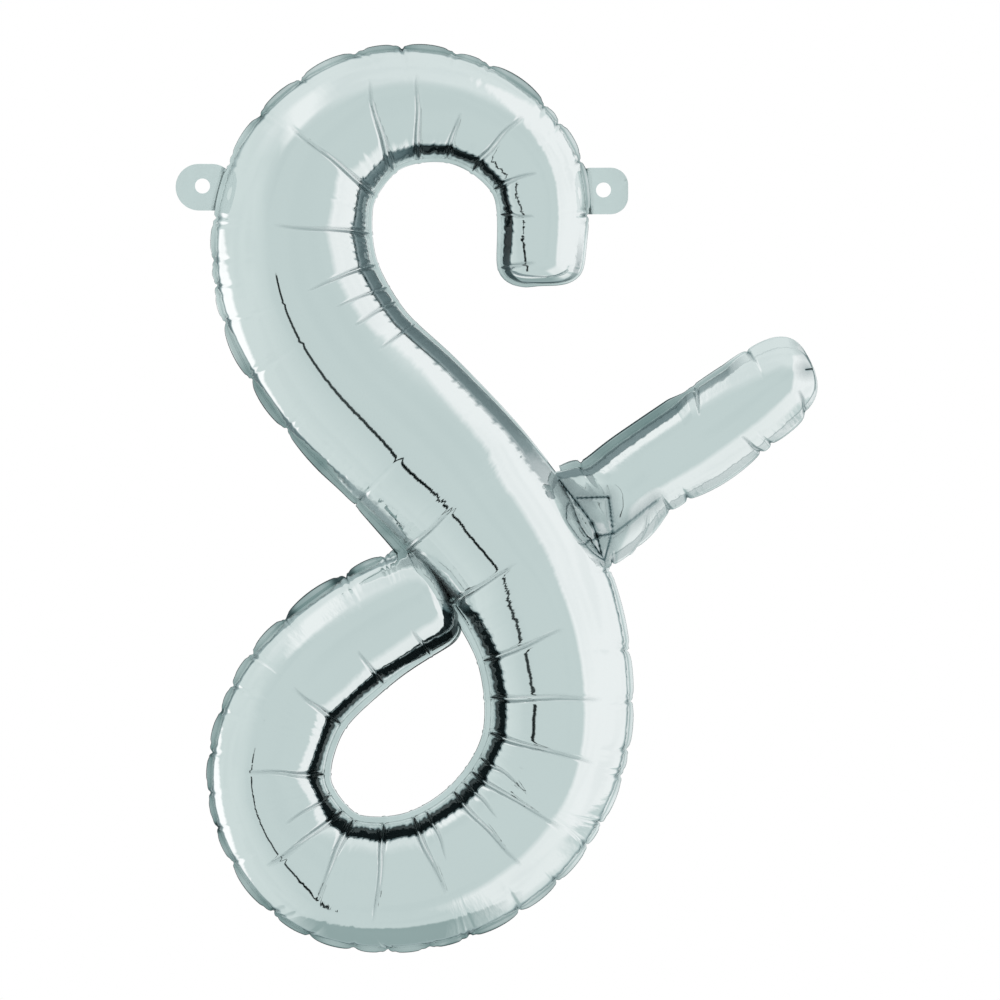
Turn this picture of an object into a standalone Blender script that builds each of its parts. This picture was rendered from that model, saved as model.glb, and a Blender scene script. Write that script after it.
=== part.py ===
import math

import bmesh
import bpy
import numpy as np
from mathutils import Matrix, Vector

# Driving dimensions, in metres
mm = 0.001
foilWall = 0.8 * mm
plyGap = 0.3 * mm
sealWidth = 3.6 * mm
petalPitch = 14.0 * mm
petalDepth = 0.9 * mm
creaseSink = 0.05
domeRatio = 0.93
domeSpans = 8
capLength = 13.0 * mm
capPower = 2.6
armLift = 2.35 * mm
armLiftRun = 70.0 * mm
neckRun = 20.0 * mm
neckBowTop = 2.2 * mm
neckBowBottom = 0.3 * mm
tabGap = 0.6 * mm
tabFoldInset = 1.2 * mm
punchedHole = 6.0 * mm
tabWall = 0.8 * mm

# Centre line of the letter's main stroke, from the hook's end to the arm's end.
# Columns: x, z and the reach out to the sealed edge, in millimetres.
letterRows = [
    (54.8, -35.0, 17.0),
    (53.4, 5.0, 19.2),
    (25.5, 30.0, 21.5),
    (-12.0, 30.0, 25.5),
    (-39.0, 4.5, 30.0),
    (-43.0, -33.5, 33.0),
    (-27.0, -67.5, 33.5),
    (-0.5, -95.0, 34.5),
    (25.5, -122.5, 34.0),
    (48.5, -153.5, 32.5),
    (61.0, -189.0, 30.0),
    (60.0, -227.0, 29.0),
    (40.0, -259.0, 28.5),
    (6.5, -277.0, 27.0),
    (-30.5, -274.0, 26.0),
    (-53.0, -243.5, 24.5),
    (-46.0, -207.0, 24.0),
    (-19.2, -179.8, 23.6),
    (11.0, -163.0, 20.3),
]

# Centre line of the tail, from the neck's fold to the tip, same columns
tailRows = [
    (73.9, -130.1, 22.4),
    (83.0, -125.5, 20.0),
    (95.2, -114.2, 18.0),
    (118.0, -99.8, 19.0),
    (137.5, -86.2, 18.2),
    (151.5, -77.0, 16.5),
    (164.2, -73.0, 13.5),
]

# Where the outer, scalloped side of the main stroke changes from left to right
outerSwitch = 318.0 * mm

# Hanging tabs. Root distances run along the main stroke from the hook's end.
tabRows = [
    # name, side, first root, last root, round end x, round end z, corner, hole x, hole z
    ("tab_left", -1, 160.9, 173.3, -81.4, 0.4, 9.4, -80.2, 0.8),
    ("tab_right", -1, 24.0, 37.5, 83.0, -1.2, 7.0, 80.2, -0.8),
]

# Fill tongue, folded back behind the letter's lowest edge
fillRoot = Vector((-2.0, 1.8, -304.4)) * mm
fillWide = 12.0 * mm
fillLong = 22.0 * mm
fillRise = math.radians(18.0)
filmWide = 8.0 * mm
filmLong = 25.0 * mm
filmWall = 0.5 * mm

for item in list(bpy.data.objects):
    bpy.data.objects.remove(item, do_unlink=True)

parts = bpy.data.collections.new("letter_foil_balloon")
bpy.context.scene.collection.children.link(parts)


def makeMaterial(name, color, metallic, roughness):
    material = bpy.data.materials.new(name)
    material.use_nodes = True
    shader = material.node_tree.nodes["Principled BSDF"]
    shader.inputs["Base Color"].default_value = (*color, 1.0)
    shader.inputs["Metallic"].default_value = metallic
    shader.inputs["Roughness"].default_value = roughness
    return material


silver = (0.78, 0.82, 0.82)
materials = {
    "silver_foil": makeMaterial("silver_foil", silver, 1.0, 0.12),
    "tail_foil": makeMaterial("tail_foil", silver, 1.0, 0.12),
    "tab_film": makeMaterial("tab_film", (0.72, 0.77, 0.77), 0.6, 0.35),
    "valve_film": makeMaterial("valve_film", (0.86, 0.88, 0.88), 0.0, 0.3),
}


# A smooth centre line through the rows, resampled at the distances asked for
def smoothLine(rows):
    points = np.array(rows, float) * mm
    padded = np.vstack([2 * points[0] - points[1], points, 2 * points[-1] - points[-2]])
    dense = []
    for index in range(len(points) - 1):
        a, b, c, d = padded[index:index + 4]
        for t in np.linspace(0.0, 1.0, 24, endpoint=False):
            bend = (2 * a - 5 * b + 4 * c - d) * t * t + (-a + 3 * b - 3 * c + d) * t ** 3
            dense.append(0.5 * (2 * b + (c - a) * t + bend))
    dense.append(points[-1])
    dense = np.array(dense)
    steps = np.linalg.norm(np.diff(dense[:, :2], axis=0), axis=1)
    distance = np.concatenate([[0.0], np.cumsum(steps)])
    tangent = np.gradient(dense[:, :2], axis=0)
    tangent /= np.linalg.norm(tangent, axis=1)[:, None]
    return distance, dense, tangent


def lineAt(line, where):
    distance, dense, tangent = line
    x, z, reach = (np.interp(where, distance, dense[:, column]) for column in range(3))
    along = Vector([np.interp(where, distance, tangent[:, column]) for column in range(2)])
    along.normalize()
    across = Vector((-along.y, along.x))
    return Vector((x, z)), along, across, float(reach)


def easeIn(value):
    value = min(max(value, 0.0), 1.0)
    return value * value * (3.0 - 2.0 * value)


# Distances of the sections: close together at a rounded end, then half a petal apart
def sectionPlaces(length, roundStart):
    capSteps = [0.0, 0.02, 0.1, 0.3, 0.62]
    first = [capLength * step for step in capSteps] if roundStart else [0.0, 6.0 * mm]
    last = [length - capLength * step for step in reversed(capSteps)]
    start = capLength if roundStart else 13.0 * mm
    count = 2 * round((length - start - capLength) / petalPitch)
    middle = np.linspace(start, length - capLength, count + 1)
    return first, list(middle), last


def capShrink(place):
    if place >= capLength:
        return 1.0
    return (1.0 - (1.0 - place / capLength) ** capPower) ** (1.0 / capPower)


# One sheet of foil: flat sealed edge all round and a blown-out trough inside it
def foilSheet(name, line, facing, roundStart, outerSide, petalScale, lift, slot, pivot):
    length = line[0][-1]
    first, middle, last = sectionPlaces(length, roundStart)
    places = first + middle + last
    sections = []
    for order, place in enumerate(places):
        centre, along, across, reach = lineAt(line, place)
        shrink = capShrink(length - place)
        if roundStart:
            shrink = min(shrink, capShrink(place))
        onCrease = (order - len(first)) % 2 == 0
        inMiddle = len(first) < order < len(first) + len(middle) - 1
        petal = 0.0
        if inMiddle:
            petal = (-petalDepth if onCrease else petalDepth * 0.7) * petalScale(place)
        half = (reach - sealWidth) * shrink
        height = domeRatio * half
        if not roundStart:
            height *= easeIn(place / neckRun)
        side = outerSide(place)
        bow = 0.0 if roundStart else 1.0 - easeIn(place / neckRun)
        points = []
        for column in range(domeSpans + 1):
            angle = math.pi * column / domeSpans
            u = -math.cos(angle)
            rise = math.sin(angle) if 0 < column < domeSpans else 0.0
            bulge = 0.5 * petal * max(0.0, u * side)
            sink = creaseSink if inMiddle and onCrease and u * side < 0.5 else 0.0
            back = bow * u * u * (neckBowTop if u > 0.0 else neckBowBottom)
            flat = centre + across * (u * (half + bulge)) - along * back
            depth = height * rise * (1.0 - sink)
            points.append((flat, depth))
        # The sealed edge stands square to the trough's own outline
        turn = math.sqrt(max(0.0, 1.0 - shrink ** 1.6))
        if not roundStart and place < capLength:
            turn = 0.0
        ahead = 1.0 if place > length * 0.5 else -1.0
        edges = []
        for sign in (-1.0, 1.0):
            outward = across * (sign * (1.0 - turn)) + along * (ahead * turn)
            outward.normalize()
            reachOut = sealWidth + (petal if sign == side else 0.0)
            base = points[0][0] if sign < 0 else points[-1][0]
            edges.append((base + outward * reachOut, 0.0))
        sections.append((place, [edges[0]] + points + [edges[1]]))
    mesh = bpy.data.meshes.new(name)
    build = bmesh.new()
    rows = []
    for place, section in sections:
        shift = lift(place)
        row = []
        for flat, depth in section:
            y = shift + facing * (plyGap / 2 + depth)
            row.append(build.verts.new(Vector((flat.x, y, flat.y)) - pivot))
        rows.append(row)
    for before, after in zip(rows, rows[1:]):
        for column in range(len(before) - 1):
            corners = [before[column], before[column + 1], after[column + 1], after[column]]
            build.faces.new(corners)
    bmesh.ops.remove_doubles(build, verts=build.verts, dist=0.00002)
    bmesh.ops.dissolve_degenerate(build, edges=build.edges, dist=0.00002)
    bmesh.ops.recalc_face_normals(build, faces=build.faces)
    outward = sum(face.normal.y * face.calc_area() for face in build.faces)
    if outward * facing < 0:
        bmesh.ops.reverse_faces(build, faces=build.faces)
    build.to_mesh(mesh)
    build.free()
    sheet = bpy.data.objects.new(name, mesh)
    sheet.location = pivot
    parts.objects.link(sheet)
    solid = sheet.modifiers.new("wall", "SOLIDIFY")
    solid.thickness = foilWall
    solid.offset = 1.0
    solid.use_even_offset = True
    mesh.materials.append(materials[slot])
    return sheet


letterLine = smoothLine(letterRows)
letterLength = letterLine[0][-1]
tailLine = smoothLine(tailRows)


def letterOuterSide(place):
    return -1.0 if place < outerSwitch else 1.0


# The scallops fade out beside the tail's neck and stop where a tab is joined
def letterPetalScale(place):
    for tab in tabRows:
        if (tab[2] - 3.0) * mm < place < (tab[3] + 3.0) * mm:
            return 0.0
    before = easeIn((312.0 * mm - place) / (30.0 * mm))
    after = easeIn((place - 366.0 * mm) / (60.0 * mm))
    return max(before, after)


def armLiftAt(place):
    return armLift * easeIn((place - letterLength + armLiftRun) / (armLiftRun - 22.0 * mm))


origin = Vector((0.0, 0.0, 0.0))
for name, facing in (("front_foil", -1), ("back_foil", 1)):
    rules = (letterOuterSide, letterPetalScale, armLiftAt)
    foilSheet(name, letterLine, facing, True, *rules, "silver_foil", origin)

# The tail swings about the fold of its neck, so its origin is on that fold
neck = Vector((tailRows[0][0] * mm, 0.0, tailRows[0][1] * mm))
for name, facing in (("tail_front_foil", -1), ("tail_back_foil", 1)):
    rules = (lambda place: 1.0, lambda place: 1.0, lambda place: 0.0)
    foilSheet(name, tailLine, facing, False, *rules, "tail_foil", neck)


# A flat plate from a closed outline and round holes, both as x and z
def flatPlate(name, outline, holes, wall, slot, pivot):
    curve = bpy.data.curves.new(name, "CURVE")
    curve.dimensions = "2D"
    curve.fill_mode = "BOTH"
    curve.extrude = wall / 2
    loops = [outline]
    for x, z, diameter in holes:
        angles = [2 * math.pi * step / 20 for step in range(20)]
        rounds = [(x + math.cos(a) * diameter / 2, z + math.sin(a) * diameter / 2) for a in angles]
        loops.append(rounds)
    for loop in loops:
        spline = curve.splines.new("POLY")
        spline.points.add(len(loop) - 1)
        for point, (x, z) in zip(spline.points, loop):
            point.co = (x, z, 0.0, 1.0)
        spline.use_cyclic_u = True
    carrier = bpy.data.objects.new(name + "_curve", curve)
    mesh = bpy.data.meshes.new_from_object(carrier)
    bpy.data.objects.remove(carrier)
    mesh.name = name
    mesh.transform(Matrix.Rotation(math.pi / 2, 4, "X"))
    mesh.transform(Matrix.Translation(-pivot))
    build = bmesh.new()
    build.from_mesh(mesh)
    bmesh.ops.remove_doubles(build, verts=build.verts, dist=0.00001)
    bmesh.ops.recalc_face_normals(build, faces=build.faces)
    build.to_mesh(mesh)
    build.free()
    plate = bpy.data.objects.new(name, mesh)
    plate.location = pivot
    parts.objects.link(plate)
    mesh.materials.clear()
    mesh.materials.append(materials[slot])
    return plate


# A point on the letter's sealed edge, moved outward by the gap asked for
def edgePoint(place, side, gap):
    centre, along, across, reach = lineAt(letterLine, place * mm)
    return centre + across * (side * (reach + gap))


for name, side, firstRoot, lastRoot, endX, endZ, corner, holeX, holeZ in tabRows:
    root = [edgePoint(place, side, tabGap) for place in np.linspace(firstRoot, lastRoot, 6)]
    root.sort(key=lambda point: point.y)
    low, high = root[0], root[-1]
    away = -1.0 if endX < 0 else 1.0
    halfHigh = 9.3 * mm
    endCentre = Vector((endX, endZ)) * mm
    outline = [(low.x, low.y), (low.x + away * 1.0 * mm, endCentre.y - halfHigh)]
    radius = corner * mm
    for sign in (-1.0, 1.0):
        centreZ = endCentre.y + sign * (halfHigh - min(radius, halfHigh))
        angles = np.linspace(-90.0, 0.0, 7) if sign < 0 else np.linspace(0.0, 90.0, 7)
        for degrees in angles:
            angle = math.radians(degrees)
            x = endCentre.x + away * math.cos(angle) * radius
            outline.append((x, centreZ + math.sin(angle) * min(radius, halfHigh)))
    outline.append((high.x + away * 1.0 * mm, endCentre.y + halfHigh))
    outline += [(point.x, point.y) for point in reversed(root[1:])]
    clean = [outline[0]]
    for point in outline[1:]:
        if (Vector(point) - Vector(clean[-1])).length > 0.0003:
            clean.append(point)
    # The fold stands a little out from the root, so the root's corners clear the letter
    fold = (high - low).normalized()
    middle = (high + low) / 2 + Vector((fold.y, -fold.x)) * (away * tabFoldInset)
    pivot = Vector((middle.x, 0.0, middle.y))
    hole = (holeX * mm, holeZ * mm, punchedHole)
    flatPlate(name, clean, [hole], tabWall, "tab_film", pivot)
    print(name, "fold at", [round(v / mm, 2) for v in middle], "along", [round(v, 3) for v in fold])

# The fill tongue and the valve film that lies on it
for name, wide, long, wall, raised, slot in (
    ("fill_tongue", fillWide, fillLong, foilWall, 0.0, "silver_foil"),
    ("valve_film", filmWide, filmLong, filmWall, foilWall / 2 + plyGap + filmWall / 2, "valve_film"),
):
    rim = 3.0 * mm
    start = 0.2 * mm if raised == 0.0 else 4.0 * mm
    outline = [(-wide / 2, start), (wide / 2, start)]
    for sign, angles in ((1.0, np.linspace(0.0, 90.0, 5)), (-1.0, np.linspace(90.0, 180.0, 5))):
        for degrees in angles:
            angle = math.radians(degrees)
            x = sign * (wide / 2 - rim) + math.cos(angle) * rim
            outline.append((x, long - rim + math.sin(angle) * rim))
    plate = flatPlate(name, outline, [], wall, slot, origin)
    plate.data.transform(Matrix.Translation((0.0, raised, 0.0)))
    plate.data.transform(Matrix.Rotation(-(math.pi / 2 - fillRise), 4, "X"))
    plate.location = fillRoot

print("letter length", round(letterLength / mm, 1), "tail length", round(tailLine[0][-1] / mm, 1))
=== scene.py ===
import math

import bmesh
import bpy
import numpy as np
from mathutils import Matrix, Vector


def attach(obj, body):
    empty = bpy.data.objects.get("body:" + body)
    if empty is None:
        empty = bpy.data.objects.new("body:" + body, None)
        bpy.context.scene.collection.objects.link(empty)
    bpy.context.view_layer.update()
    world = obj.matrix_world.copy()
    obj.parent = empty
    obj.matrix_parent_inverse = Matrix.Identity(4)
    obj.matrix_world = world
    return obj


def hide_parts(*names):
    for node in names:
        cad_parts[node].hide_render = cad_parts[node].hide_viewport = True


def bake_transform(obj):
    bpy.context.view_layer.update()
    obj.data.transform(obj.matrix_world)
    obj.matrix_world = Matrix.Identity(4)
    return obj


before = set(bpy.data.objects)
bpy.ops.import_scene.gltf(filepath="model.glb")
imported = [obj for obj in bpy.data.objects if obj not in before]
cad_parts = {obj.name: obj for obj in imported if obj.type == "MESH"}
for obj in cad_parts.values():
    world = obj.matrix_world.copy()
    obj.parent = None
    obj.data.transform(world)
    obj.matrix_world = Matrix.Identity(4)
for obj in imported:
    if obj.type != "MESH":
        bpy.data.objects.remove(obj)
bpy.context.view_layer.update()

mm = 0.001
mergeGap = 0.00001   # points closer than this are one
scene = bpy.context.scene
dressing = bpy.data.collections.new("balloon_dressing")
scene.collection.children.link(dressing)

# Camera: square on to the letter, with the photograph's centre and width
shot = {
    "centre": (0.0388, -0.1248),   # x and z of the picture's middle
    "wide": 0.4,                   # width seen at the seam plane
    "away": 2.2,
    "pixels": 1000,                # the photograph's width, for points read off it
    "sensor": 36.0,                # in mm
    "clip": (0.05, 60.0),
}
cameraData = bpy.data.cameras.new("studioCamera")
cameraData.sensor_width = shot["sensor"]
cameraData.lens = shot["sensor"] * shot["away"] / shot["wide"]
cameraData.clip_start, cameraData.clip_end = shot["clip"]
camera = bpy.data.objects.new("studioCamera", cameraData)
camera.location = (shot["centre"][0], -shot["away"], shot["centre"][1])
camera.rotation_euler = (math.pi / 2, 0.0, 0.0)
scene.collection.objects.link(camera)
scene.camera = camera


def link(tree, source, target):
    tree.links.new(source, target)


def addNode(tree, kind, **settings):
    node = tree.nodes.new(kind)
    for name, value in settings.items():
        setattr(node, name, value)
    return node


def setInputs(node, values):
    for name, value in values.items():
        node.inputs[name].default_value = value


# A socket takes a number, a colour or another node's output
def feed(tree, socket, value):
    if isinstance(value, (int, float)):
        socket.default_value = value
    elif isinstance(value, tuple):
        socket.default_value = (*value, 1.0)
    else:
        link(tree, value, socket)


# Number inputs of a node group, each with its first value
def addInputs(group, values):
    for name, value in values.items():
        socket = group.interface.new_socket(name=name, in_out="INPUT", socket_type="NodeSocketFloat")
        socket.default_value = value


def mathNode(tree, operation, first, second=None, clamp=False):
    node = addNode(tree, "ShaderNodeMath", operation=operation, use_clamp=clamp)
    for socket, value in zip(node.inputs, (first, second)):
        if value is not None:
            feed(tree, socket, value)
    return node.outputs[0]


def mixColour(tree, factor, first, second):
    node = addNode(tree, "ShaderNodeMix", data_type="RGBA")
    for socket, value in zip((node.inputs[0], node.inputs[6], node.inputs[7]), (factor, first, second)):
        feed(tree, socket, value)
    return node.outputs[2]


def softStep(tree, value, start, end):
    node = addNode(tree, "ShaderNodeMapRange", interpolation_type="SMOOTHSTEP")
    link(tree, value, node.inputs["Value"])
    setInputs(node, {"From Min": start, "From Max": end})
    return node.outputs[0]


def noiseNode(tree, vector, scale, detail):
    node = addNode(tree, "ShaderNodeTexNoise")
    link(tree, vector, node.inputs["Vector"])
    feed(tree, node.inputs["Scale"], scale)
    node.inputs["Detail"].default_value = detail
    return node.outputs["Fac"]


# The foil shows the studio round it, so the studio is painted by how far a mirror at the
# letter would have to lean to see it: 0,0 faces the camera and 1 is edge on.
studio = {
    "front": (0.575, 0.675, 0.668),
    "rim": (0.36, 0.46, 0.465), "rimFrom": 0.925, "rimTo": 0.955,
    "deep": (0.13, 0.19, 0.20), "deepFrom": 0.955, "deepTo": 0.975,
    "far": (0.02, 0.032, 0.034), "farFrom": 0.980, "farTo": 0.994,
    "cloud": 0.10, "cloudSize": 2.2, "cloudDetail": 1.0, "cloudFrom": 0.45, "cloudTo": 0.7,
    "backdrop": (1.0, 1.0, 1.0),   # what the camera itself sees
    "panels": [
        # name, x, z, half wide, half high, turn, edge, edge at the sides, colour
        ("lightLeft", -0.86, 0.05, 0.30, 0.72, 0.00, 0.30, 0.30, (0.66, 0.755, 0.745)),
        ("whiteLeft", -0.85, -0.30, 0.05, 0.46, 0.22, 0.03, 0.03, (1.06, 1.08, 1.08)),
        ("lightTop", 0.05, 0.72, 0.60, 0.28, -0.10, 0.16, 0.16, (0.72, 0.80, 0.795)),
        ("whiteRight", 0.71, 0.12, 0.35, 0.52, 0.10, 0.06, 0.06, (0.89, 0.93, 0.93)),
        ("whiteLow", 0.40, -0.52, 0.13, 0.21, 0.66, 0.10, 0.10, (0.83, 0.885, 0.88)),
        ("whiteTail", -0.35, 0.50, 0.04, 0.13, 0.61, 0.07, 0.09, (0.88, 0.93, 0.925)),
        ("tealLow", -0.06, -0.88, 0.24, 0.18, 0.00, 0.025, 0.28, (0.30, 0.40, 0.395)),
        ("darkPole", -0.20, -0.22, 0.011, 0.24, 0.04, 0.006, 0.006, (0.003, 0.006, 0.006)),
    ],
}


def panelGroup():
    group = bpy.data.node_groups.new("studioPanel", "ShaderNodeTree")
    addInputs(group, {"Across": 0.0, "Up": 0.0, "X": 0.0, "Z": 0.0, "Half wide": 0.1,
                      "Half high": 0.1, "Turn": 0.0, "Edge": 0.05, "Side edge": 0.05})
    group.interface.new_socket(name="Mask", in_out="OUTPUT", socket_type="NodeSocketFloat")
    ins = addNode(group, "NodeGroupInput").outputs
    outs = addNode(group, "NodeGroupOutput").inputs

    def times(first, second):
        return mathNode(group, "MULTIPLY", first, second)

    x = mathNode(group, "SUBTRACT", ins["Across"], ins["X"])
    z = mathNode(group, "SUBTRACT", ins["Up"], ins["Z"])
    cosine = mathNode(group, "COSINE", ins["Turn"])
    sine = mathNode(group, "SINE", ins["Turn"])
    turnedX = mathNode(group, "ADD", times(x, cosine), times(z, sine))
    turnedZ = mathNode(group, "SUBTRACT", times(z, cosine), times(x, sine))
    masks = []
    for value, half, edge in ((turnedX, "Half wide", "Side edge"), (turnedZ, "Half high", "Edge")):
        over = mathNode(group, "SUBTRACT", mathNode(group, "ABSOLUTE", value), ins[half])
        soft = mathNode(group, "DIVIDE", over, ins[edge])
        masks.append(mathNode(group, "SUBTRACT", 1.0, soft, clamp=True))
    link(group, times(*masks), outs["Mask"])
    return group


def buildWorld():
    world = bpy.data.worlds.new("studioWorld")
    scene.world = world
    world.use_nodes = True
    tree = world.node_tree
    tree.nodes.clear()
    place = addNode(tree, "ShaderNodeTexCoord")
    parts = addNode(tree, "ShaderNodeSeparateXYZ")
    link(tree, place.outputs["Generated"], parts.inputs[0])
    # across, up and lean say which way a mirror faces to show this part of the studio
    side = mathNode(tree, "SUBTRACT", 1.0, parts.outputs["Y"])
    scale = mathNode(tree, "SQRT", mathNode(tree, "MAXIMUM", mathNode(tree, "MULTIPLY", side, 2.0), 0.0002))
    across = mathNode(tree, "DIVIDE", parts.outputs["X"], scale)
    up = mathNode(tree, "DIVIDE", parts.outputs["Z"], scale)
    facing = mathNode(tree, "MULTIPLY", mathNode(tree, "ADD", parts.outputs["Y"], 1.0), 0.5)
    lean = mathNode(tree, "SQRT", facing)
    colour = studio["front"]
    group = panelGroup()
    for name, x, z, halfWide, halfHigh, turn, edge, sideEdge, tint in studio["panels"]:
        panel = addNode(tree, "ShaderNodeGroup", node_tree=group, name=name)
        link(tree, across, panel.inputs["Across"])
        link(tree, up, panel.inputs["Up"])
        setInputs(panel, {"X": x, "Z": z, "Half wide": halfWide, "Half high": halfHigh,
                          "Turn": turn, "Edge": edge, "Side edge": sideEdge})
        colour = mixColour(tree, panel.outputs["Mask"], colour, tint)
    cloud = noiseNode(tree, place.outputs["Generated"], studio["cloudSize"], studio["cloudDetail"])
    cloud = softStep(tree, cloud, studio["cloudFrom"], studio["cloudTo"])
    shade = mathNode(tree, "MULTIPLY", cloud, studio["cloud"])
    colour = mixColour(tree, shade, colour, studio["rim"])
    for name in ("rim", "deep", "far"):
        mask = softStep(tree, lean, studio[name + "From"], studio[name + "To"])
        colour = mixColour(tree, mask, colour, studio[name])
    path = addNode(tree, "ShaderNodeLightPath")
    colour = mixColour(tree, path.outputs["Is Camera Ray"], colour, studio["backdrop"])
    background = addNode(tree, "ShaderNodeBackground")
    link(tree, colour, background.inputs["Color"])
    output = addNode(tree, "ShaderNodeOutputWorld")
    link(tree, background.outputs[0], output.inputs["Surface"])


buildWorld()
scene.view_settings.view_transform = "Standard"

print("camera and studio ready")


def ease(value):
    value = np.clip(value, 0.0, 1.0)
    return value * value * (3.0 - 2.0 * value)


def hump(x, wide):
    return np.exp(-(x / wide) ** 2)


# Each value averaged with its neighbours, round after round; both ends stay
def smoothed(values, rounds):
    for _ in range(rounds):
        values[1:-1] = 0.25 * values[:-2] + 0.5 * values[1:-1] + 0.25 * values[2:]
    return values


# A smooth centre line through the rows: distance, x, z, reach, heading and bend
def smoothLine(rows, perSpan=60, rounds=60, headingRounds=40):
    points = np.array(rows, float) * mm
    padded = np.vstack([2 * points[0] - points[1], points, 2 * points[-1] - points[-2]])
    dense = []
    for index in range(len(points) - 1):
        a, b, c, d = padded[index:index + 4]
        for t in np.linspace(0.0, 1.0, perSpan, endpoint=False):
            bend = (2 * a - 5 * b + 4 * c - d) * t * t + (-a + 3 * b - 3 * c + d) * t ** 3
            dense.append(0.5 * (2 * b + (c - a) * t + bend))
    dense.append(points[-1])
    dense = smoothed(np.array(dense), rounds)
    steps = np.linalg.norm(np.diff(dense[:, :2], axis=0), axis=1)
    place = np.concatenate([[0.0], np.cumsum(steps)])
    heading = np.unwrap(np.arctan2(np.gradient(dense[:, 1]), np.gradient(dense[:, 0])))
    heading = smoothed(heading, headingRounds)
    turning = np.gradient(heading) / np.gradient(place)
    return {"place": place, "x": dense[:, 0], "z": dense[:, 1], "reach": dense[:, 2],
            "heading": heading, "turning": turning, "length": place[-1]}


def onLine(line, what, places):
    return np.interp(places, line["place"], line[what])


# A point read off the photograph, in its pixels, as metres in the seam plane
def pictured(across, down):
    scale = shot["wide"] / shot["pixels"]
    middle = shot["pixels"] / 2
    return shot["centre"][0] + (across - middle) * scale, shot["centre"][1] + (middle - down) * scale


# Distance walked to a pictured point and how far it lies to the left, in mm; a tube can
# pass the same spot twice, so it is looked for only so far behind and ahead of "near"
def walkedTo(line, point, near, behind=12, ahead=60):
    x, z = pictured(*point)
    close = (line["place"] > (near - behind) * mm) & (line["place"] < (near + ahead) * mm)
    gap = np.hypot(line["x"] - x, line["z"] - z)
    index = int(np.argmin(np.where(close, gap, 1.0)))
    heading = line["heading"][index]
    aside = (z - line["z"][index]) * math.cos(heading) - (x - line["x"][index]) * math.sin(heading)
    return line["place"][index] / mm, aside / mm


# What the letter's and the tail's tubes share. Lengths are in mm, angles in radians round
# the section from a seam, and a pair is the least and the most of a random draw.
foilTube = {
    "seal": 3.3, "depthRatio": 0.97, "wallAngle": 0.42, "bodyTurn": 1.10, "wallBulge": 1.12,
    "columnCrowd": 0.42,                   # how far the columns crowd towards the seams
    "samples": 20000, "creaseRun": 2.4, "notchRun": 1.6,
    "capStep": 0.12, "capGrowth": 0.13,    # rows at a closed end, and how fast they spread
    "petalFade": 5.0, "creaseReach": 0.95, "capRise": 1.4,
    "slantRun": 14, "slantPast": 15, "slantBehind": -0.6,
    "straight": {"from": 0.45, "run": 0.55, "seamRun": 0.34},
    # painted shade band on the front walls: how far past the wall and how softly it ends, its start from
    # the seam, and the painted dark line's width
    "paintedWallBand": {"over": 0.015, "soft": 0.03, "fromSeam": 0.05, "line": 0.028},
    "crease": {
        "wobble": 0.5, "waves": (3, 6), "apart": 0.2, "apartMore": 0.75, "closing": 0.32,
        "inner": 0.6, "outer": 0.4, "outerRun": 0.7, "start": 0.08, "startFrom": 0.25,
        "behind": (0.5, 0.9), "tilt": (0.6, 1.0), "valley": 0.36, "strip": 0.75, "stripLeast": 0.1,
        # painted shade: dark lines painted along the two valleys, and how they fade
        "nearDark": 0.85, "farDark": 0.40, "darkClosing": 0.5, "darkStart": 0.12,
    },
    "pucker": {
        "outerBend": 2.0, "outer": ((0.10, 0.28), (0.25, 0.45)), "inner": ((0.25, 0.75), (0.30, 0.70)),
        "calm": 0.35, "wide": (0.5, 1.0), "start": 0.15, "gap": (1.8, 4.2),
    },
    "notchFold": {
        "beside": (1.2, 2.4), "wide": (0.5, 0.8), "run": (0.45, 0.80), "size": (0.9, 1.4),
        # darkWide and darkRun size the dark line of painted shade at each notch
        "sideSize": (0.2, 0.6), "darkWide": 1.4, "darkRun": 0.30,
    },
    # core and fullDark set the dark line of painted shade along a fold
    "fold": {"facet": 0.55, "most": 0.8, "core": 1.5, "fullDark": 0.9},
    "neck": None, "folds": [], "lift": None,
    "seamFade": 0.5, "patternSize": 10,
}


# Notches of one side in walking order, as distances
def notchPlaces(line, spec, side):
    found = []
    near, points = spec["notches"][side]
    for point in points:
        near = walkedTo(line, point, near)[0]
        found.append(near)
    return np.array(found)


# Creases as side, place at the seam, place and share across at the far end, depth, width
# and whether the foil stands straight up to it
def creaseRows(line, spec):
    found = []
    limit = spec["creaseReach"]
    for side, (near, table) in spec["creases"].items():
        for startX, startY, endX, endY, deep, wide, corner in table:
            near = walkedTo(line, (startX, startY), near)[0]
            place, aside = walkedTo(line, (endX, endY), near, behind=22, ahead=12)
            share = float(np.clip(aside * mm / onLine(line, "reach", place * mm), -limit, limit))
            found.append((side, near, place, share, deep, wide, corner))
    return found


# Places of the rows along a tube: closer at the ends, and beside each crease and notch
def rowPlaces(line, spec, creases, notches):
    length = line["length"]
    fine = np.linspace(0.0, length, spec["samples"])
    step = np.full_like(fine, spec["rowStep"] * mm)
    marks = [(row[1], spec["fineStep"], spec["creaseRun"]) for row in creases]
    marks += [(place, spec["notchStep"], spec["notchRun"]) for side in (-1, 1) for place in notches[side]]
    for place, least, run in marks:
        near = np.exp(-((fine - place * mm) / (run * mm)) ** 4)
        step = np.minimum(step, (spec["rowStep"] + (least - spec["rowStep"]) * near) * mm)
    for edge, cap in ((fine, spec["startCap"]), (length - fine, spec["endCap"])):
        if cap:
            capStep = spec["capStep"] * mm + spec["capGrowth"] * np.maximum(edge, 0.0)
            step = np.where(edge < cap[0] * mm, np.minimum(step, capStep), step)
    count = np.concatenate([[0.0], np.cumsum(np.diff(fine) / step[1:])])
    return np.interp(np.linspace(0.0, count[-1], int(round(count[-1])) + 1), count, fine)


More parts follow.
